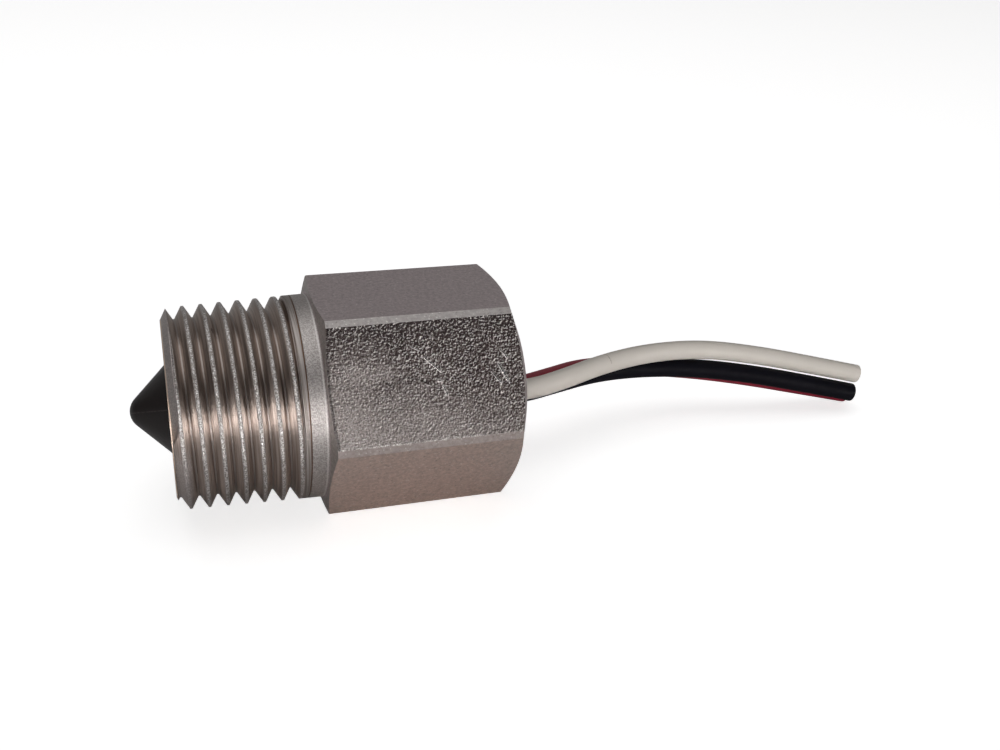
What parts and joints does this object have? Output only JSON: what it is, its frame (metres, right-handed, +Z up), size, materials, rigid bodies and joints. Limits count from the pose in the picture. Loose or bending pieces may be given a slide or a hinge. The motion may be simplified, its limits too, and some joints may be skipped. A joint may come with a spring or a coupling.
{
  "type": "electro-optic level sensor",
  "caption": "Hexagonal steel level sensor with a tapered pipe thread, a dark conical sensing tip in its end face and insulated leads out of a potted rear bore.",
  "frame": {"origin": "middle of the sensor without its leads, on the surface it lies on with one flat of the hexagon down", "axes": "+X along the sensor's axis from the tip towards the leads, +Y sideways, +Z up"},
  "size_m": [0.0889, 0.0252, 0.0222],
  "materials": {
    "body_metal": "matt machined steel, coarse on one flat",
    "prism_plastic": "smooth black moulding",
    "seal_rubber": "matt",
    "holder_plastic": "moulded",
    "emitter_body": "clear bluish resin",
    "receiver_body": "dark infrared resin",
    "board_laminate": "green solder resist",
    "sleeve_plastic": "thin film",
    "package_plastic": "moulded",
    "capacitor_body": "fired ceramic",
    "resistor_body": "glazed ceramic",
    "tinned_wire": "tinned copper strands",
    "solder": "bright joint",
    "white_insulation": "extruded, slightly glossy",
    "black_insulation": "extruded, slightly glossy",
    "red_insulation": "extruded, slightly glossy",
    "potting_resin": "cast, level surface"
  },
  "bodies": {
    "root": {"housing": "body_metal", "sensing_prism": "prism_plastic", "prism_o_ring": "seal_rubber", "optics_holder": "holder_plastic", "infrared_emitter": "emitter_body", "phototransistor": "receiver_body", "circuit_board": "board_laminate", "insulating_sleeve": "sleeve_plastic", "comparator_chip": "package_plastic", "output_transistor": "package_plastic", "protection_diode": "package_plastic", "supply_capacitor": "capacitor_body", "filter_capacitor": "capacitor_body", "emitter_resistor": "resistor_body", "collector_resistor": "resistor_body", "reference_resistor": "resistor_body", "pull_up_resistor": "resistor_body", "white_conductor": "tinned_wire", "white_solder": "solder", "white_lead": "white_insulation", "black_conductor": "tinned_wire", "black_solder": "solder", "black_lead": "black_insulation", "red_conductor": "tinned_wire", "red_solder": "solder", "red_lead": "red_insulation", "potting": "potting_resin"}
  },
  "joints": []
}
